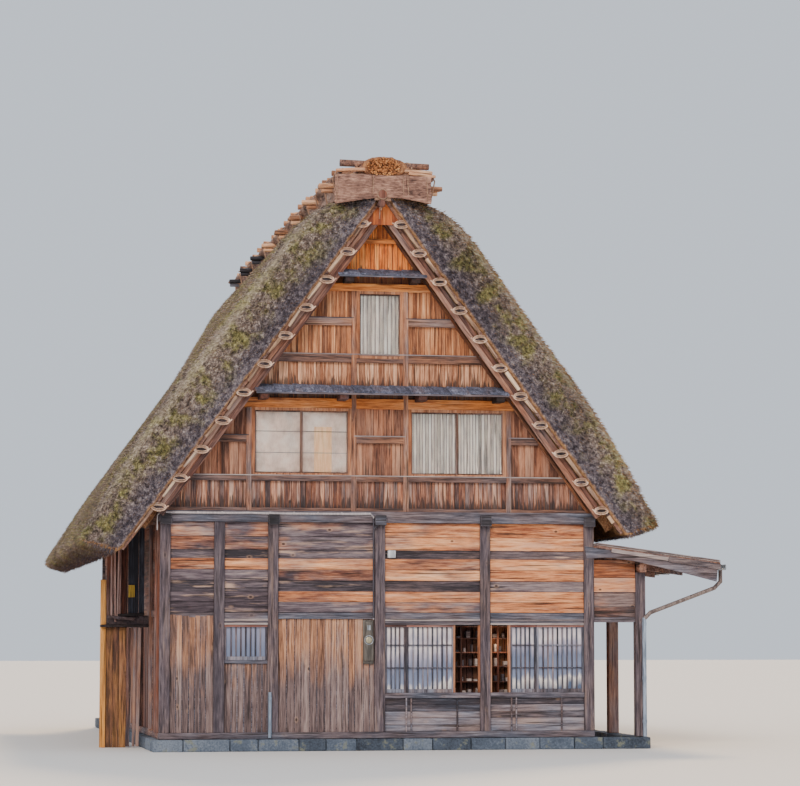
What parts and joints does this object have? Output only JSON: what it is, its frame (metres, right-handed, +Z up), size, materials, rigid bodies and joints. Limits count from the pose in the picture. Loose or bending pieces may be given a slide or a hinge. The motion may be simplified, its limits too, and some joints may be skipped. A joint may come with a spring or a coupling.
{
  "type": "minka farmhouse",
  "caption": "Timber farmhouse with a steep thatched gable roof, boarded walls on a stone footing, lattice windows, small pent roofs and a side veranda under a lean-to",
  "frame": {"origin": "on the ground under the ridge, at the middle of the front wall's thickness", "axes": "+X to the right seen from the front, +Y back along the ridge, +Z up"},
  "size_m": [12.0239, 14.87, 10.87],
  "materials": {
    "footing": "rough split stone, mortared",
    "timber": "weathered grey hewn timber",
    "dark_timber": "dark weathered beam",
    "boards": "weathered brown cedar boards",
    "cedar": "sun-warmed orange cedar boards with dark streaks",
    "shingles": "blue-grey weathered shingle boards",
    "lattice": "dark lattice bars before pale panes",
    "window": "cedar sash with glass",
    "glass": "clear window glass",
    "poles": "peeled round poles with straw rope ties",
    "thatch": "cut reed thatch, grey with moss",
    "ridge_reed": "bundled reed and bark ridge cap",
    "gutter_metal": "dull grey gutter",
    "meter_grey": "matt grey housing and conduit"
  },
  "bodies": {
    "root": {"stone_footing": "footing", "ground_floor": "boards", "front_sill": "timber", "front_upper_boards": "boards", "front_lower_boards_left": "boards", "front_lower_boards_right": "boards", "front_post_1": "timber", "front_post_2": "timber", "front_post_3": "timber", "front_post_4": "timber", "front_post_5": "timber", "front_post_6": "timber", "front_post_7": "timber", "front_girt": "dark_timber", "lattice_window_small": "lattice", "lattice_screen_left": "lattice", "lattice_screen_right": "lattice", "left_wall": "boards", "left_girt": "timber", "right_wall": "boards", "right_girt": "timber", "back_wall": "boards", "back_girt": "dark_timber", "attic_floor": "boards", "loft_floor": "boards", "gable_boards": "cedar", "gable_frame": "cedar", "middle_pent_roof": "shingles", "top_pent_roof": "shingles", "gable_window_left": "window", "gable_window_right": "window", "gable_window_top": "window", "rear_gable_wall": "cedar", "rear_middle_pent_roof": "shingles", "rear_top_pent_roof": "shingles", "rear_window_left": "window", "rear_window_right": "window", "rear_window_top": "window", "roof_frame_left": "poles", "roof_frame_right": "poles", "ridge_pole": "poles", "thatch_left": "thatch", "thatch_right": "thatch", "ridge_cap": "ridge_reed", "ridge_bundle": "ridge_reed", "leanto_roof": "shingles", "leanto_barge_board": "timber", "veranda_frame": "timber", "veranda_boards": "boards", "gutter": "gutter_metal", "downpipe": "gutter_metal", "meter_box": "meter_grey", "conduit": "meter_grey", "side_screen": "cedar"}
  },
  "joints": []
}
